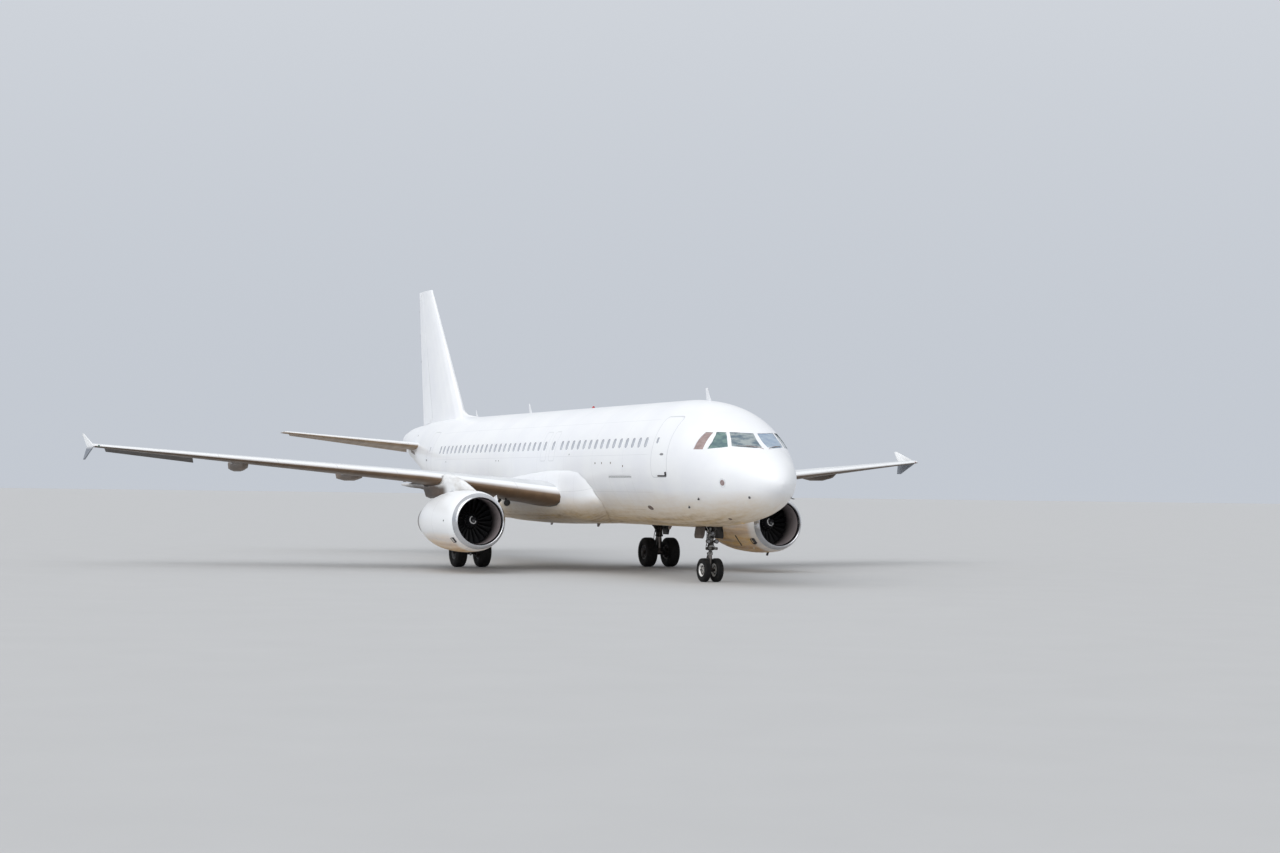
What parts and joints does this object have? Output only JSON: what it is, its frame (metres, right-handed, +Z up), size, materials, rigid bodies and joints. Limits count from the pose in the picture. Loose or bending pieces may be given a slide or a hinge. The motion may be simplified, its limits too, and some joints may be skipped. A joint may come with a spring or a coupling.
{
  "type": "twin-engine narrow-body airliner",
  "caption": "Narrow-body jet airliner parked on its landing gear, with swept low wings, under-wing engines, fin, tailplane, steerable nose gear and hinged control surfaces.",
  "frame": {"origin": "on the ground in the aircraft's middle plane, midway between the nose tip and the tail cone's end", "axes": "+Z up, the nose points to -Y and the left wing to +X"},
  "size_m": [34.14, 37.57, 11.76],
  "materials": {
    "white_skin": "satin white paint over aluminium skin, soiled low down",
    "white_composite": "satin white paint over composite panels",
    "wing_skin": "grey paint over aluminium, brown grime below",
    "grey_composite": "grey paint over composite panels, streaked",
    "grimy_fairing": "pale paint over composite, tan grime all over",
    "gear_door_skin": "soiled paint over aluminium",
    "cowl_skin": "white paint, yellow brown grime on the lower half",
    "bare_lip": "polished bare metal, dulled",
    "dark_metal": "dark, soot covered metal",
    "gear_steel": "grey enamel with oil and dust",
    "tyre": "worn black rubber with grey dust",
    "cockpit_glass": "dark glazing that mirrors the sky"
  },
  "bodies": {
    "airframe": {"radome": "white_composite", "cockpit_glazing": "cockpit_glass", "fuselage_nose": "white_skin", "fuselage_centre": "white_skin", "fuselage_rear": "white_skin", "tail_cone": "white_skin", "passenger_door_front_left": "white_skin", "passenger_door_rear_left": "white_skin", "passenger_door_front_right": "white_skin", "passenger_door_rear_right": "white_skin", "wing_left": "wing_skin", "flap_left": "wing_skin", "wing_right": "wing_skin", "flap_right": "wing_skin", "belly_fairing": "grimy_fairing", "fin": "white_composite", "tailplane_left": "grey_composite", "tailplane_right": "grey_composite", "intake_lip_left": "bare_lip", "engine_cowl_left": "cowl_skin", "engine_core_left": "dark_metal", "pylon_left": "white_skin", "intake_lip_right": "bare_lip", "engine_cowl_right": "cowl_skin", "engine_core_right": "dark_metal", "pylon_right": "white_skin", "nose_gear_leg": "gear_steel", "nose_gear_door_left": "gear_door_skin", "nose_gear_door_right": "gear_door_skin", "main_gear_leg_left": "gear_steel", "main_leg_door_left": "white_skin", "main_gear_leg_right": "gear_steel", "main_leg_door_right": "white_skin"},
    "nose_fork": {"nose_gear_fork": "gear_steel"},
    "nose_wheels": {"nose_wheel_left": "tyre", "nose_wheel_right": "tyre"},
    "main_wheels_left": {"main_wheel_outer_left": "tyre", "main_wheel_inner_left": "tyre"},
    "fan_left": {"fan_left": "dark_metal"},
    "aileron_left": {"aileron_left": "grey_composite"},
    "elevator_left": {"elevator_left": "grey_composite"},
    "main_wheels_right": {"main_wheel_outer_right": "tyre", "main_wheel_inner_right": "tyre"},
    "fan_right": {"fan_right": "dark_metal"},
    "aileron_right": {"aileron_right": "grey_composite"},
    "elevator_right": {"elevator_right": "grey_composite"},
    "rudder": {"rudder": "white_composite"},
    "cargo_door_forward": {"cargo_door_forward": "white_skin"},
    "cargo_door_aft": {"cargo_door_aft": "white_skin"}
  },
  "joints": [
    {"name": "nose_steering", "type": "hinge", "parent": "airframe", "child": "nose_fork", "pos_m": [0, -13.715, 0.7], "axis": [0, 0, 1], "range_deg": [-75, 75]},
    {"name": "nose_wheels_spin", "type": "hinge", "parent": "nose_fork", "child": "nose_wheels", "pos_m": [0, -13.715, 0.38], "axis": [1, 0, 0], "continuous": true},
    {"name": "main_wheels_left_spin", "type": "hinge", "parent": "airframe", "child": "main_wheels_left", "pos_m": [3.795, -1.075, 0.556], "axis": [1, 0, 0], "continuous": true},
    {"name": "main_wheels_right_spin", "type": "hinge", "parent": "airframe", "child": "main_wheels_right", "pos_m": [-3.795, -1.075, 0.556], "axis": [1, 0, 0], "continuous": true},
    {"name": "fan_left_spin", "type": "hinge", "parent": "airframe", "child": "fan_left", "pos_m": [5.65, -6.40514, 1.76694], "axis": [0, 0.9999, -0.0157], "continuous": true},
    {"name": "fan_right_spin", "type": "hinge", "parent": "airframe", "child": "fan_right", "pos_m": [-5.65, -6.40514, 1.76694], "axis": [0, 0.9999, -0.0157], "continuous": true},
    {"name": "aileron_left_hinge", "type": "hinge", "parent": "airframe", "child": "aileron_left", "pos_m": [13.49, 1.82616, 3.93845], "axis": [0.9392, 0.3328, 0.0849], "range_deg": [-4, 46]},
    {"name": "aileron_right_hinge", "type": "hinge", "parent": "airframe", "child": "aileron_right", "pos_m": [-13.49, 1.82616, 3.93845], "axis": [0.9392, -0.3328, -0.0849], "range_deg": [-4, 46]},
    {"name": "elevator_left_hinge", "type": "hinge", "parent": "airframe", "child": "elevator_left", "pos_m": [1.05, 16.04208, 4.70981], "axis": [0.9367, 0.3363, 0.0979], "range_deg": [-6, 41]},
    {"name": "elevator_right_hinge", "type": "hinge", "parent": "airframe", "child": "elevator_right", "pos_m": [-1.05, 16.04208, 4.70981], "axis": [0.9367, -0.3363, -0.0979], "range_deg": [-6, 41]},
    {"name": "rudder_hinge", "type": "hinge", "parent": "airframe", "child": "rudder", "pos_m": [0, 15.0914, 5.93], "axis": [0, 0.3408, 0.9401], "range_deg": [-25, 25]},
    {"name": "cargo_door_forward_hinge", "type": "hinge", "parent": "airframe", "child": "cargo_door_forward", "pos_m": [-1.92192, -10.725, 3.36827], "axis": [0, 1, 0], "range_deg": [0, 105]},
    {"name": "cargo_door_aft_hinge", "type": "hinge", "parent": "airframe", "child": "cargo_door_aft", "pos_m": [-1.92192, 4.805, 3.36827], "axis": [0, 1, 0], "range_deg": [0, 105]}
  ]
}
